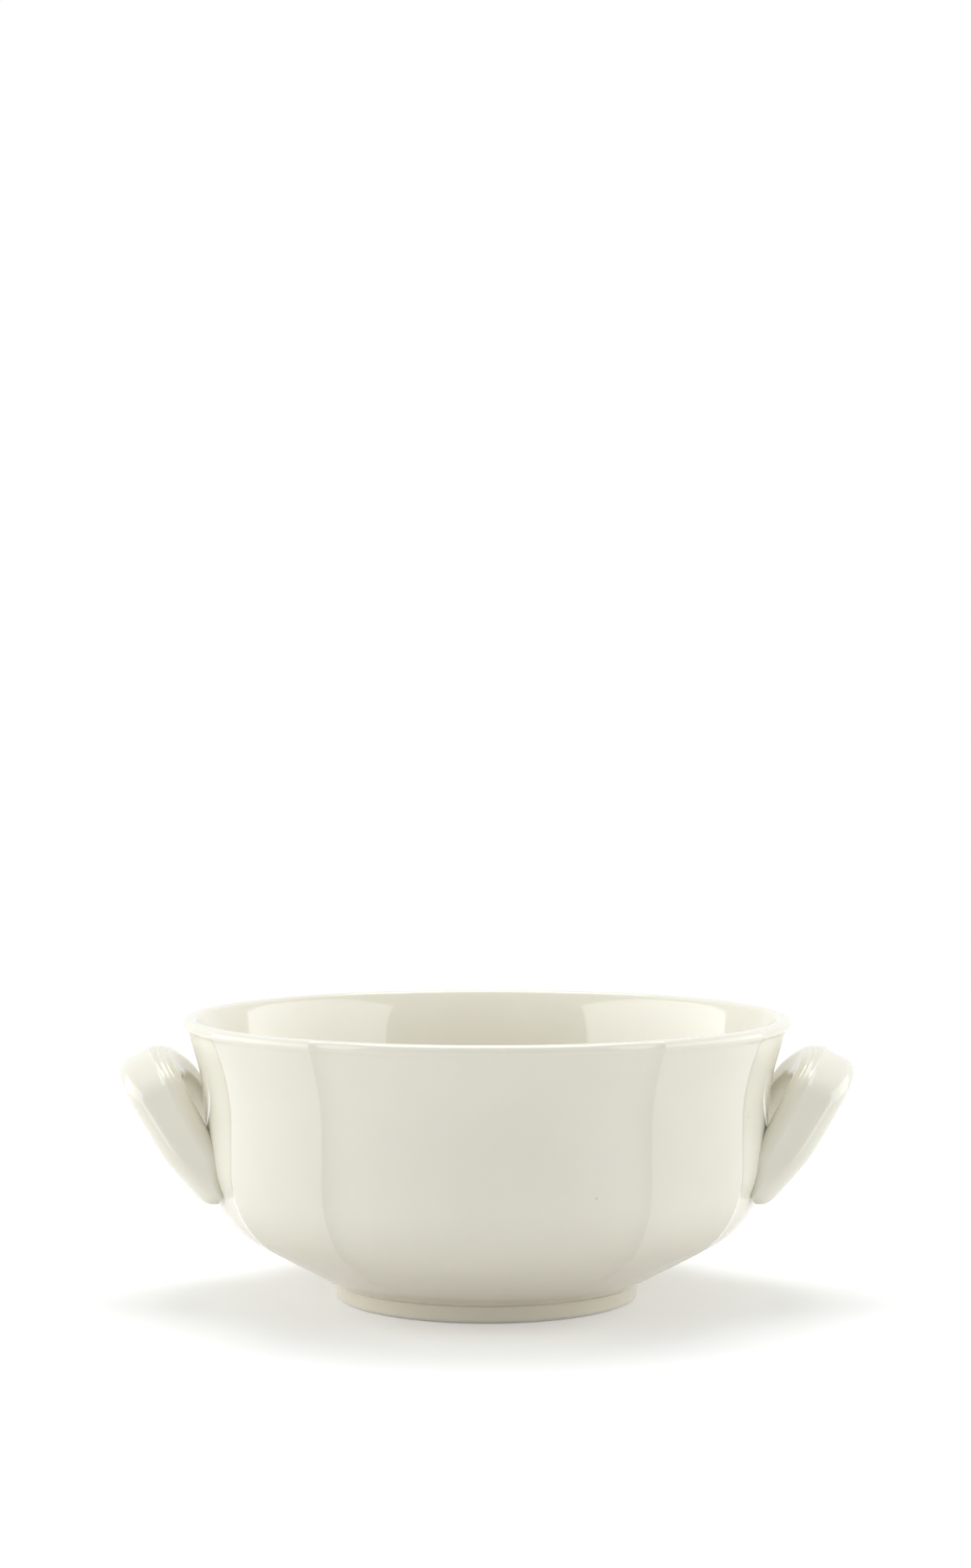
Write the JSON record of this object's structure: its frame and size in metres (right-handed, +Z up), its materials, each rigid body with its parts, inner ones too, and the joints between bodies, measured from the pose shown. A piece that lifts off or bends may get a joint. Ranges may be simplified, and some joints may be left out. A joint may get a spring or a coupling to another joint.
{
  "type": "two-handled soup bowl",
  "caption": "Glazed porcelain soup bowl with panelled sides, flared lip, turned foot ring and arched lug handles at its sides.",
  "frame": {"origin": "centre of the circle on which the foot ring rests, in the resting plane", "axes": "+Z up; +X through the middles of the two handles; -Y the front, between the handles"},
  "size_m": [0.1564, 0.1288, 0.0595],
  "materials": {
    "glaze": "glossy ivory-white glaze over porcelain, with the foot's resting edge wiped bare"
  },
  "bodies": {
    "root": {"soup_bowl": "glaze"}
  },
  "joints": []
}
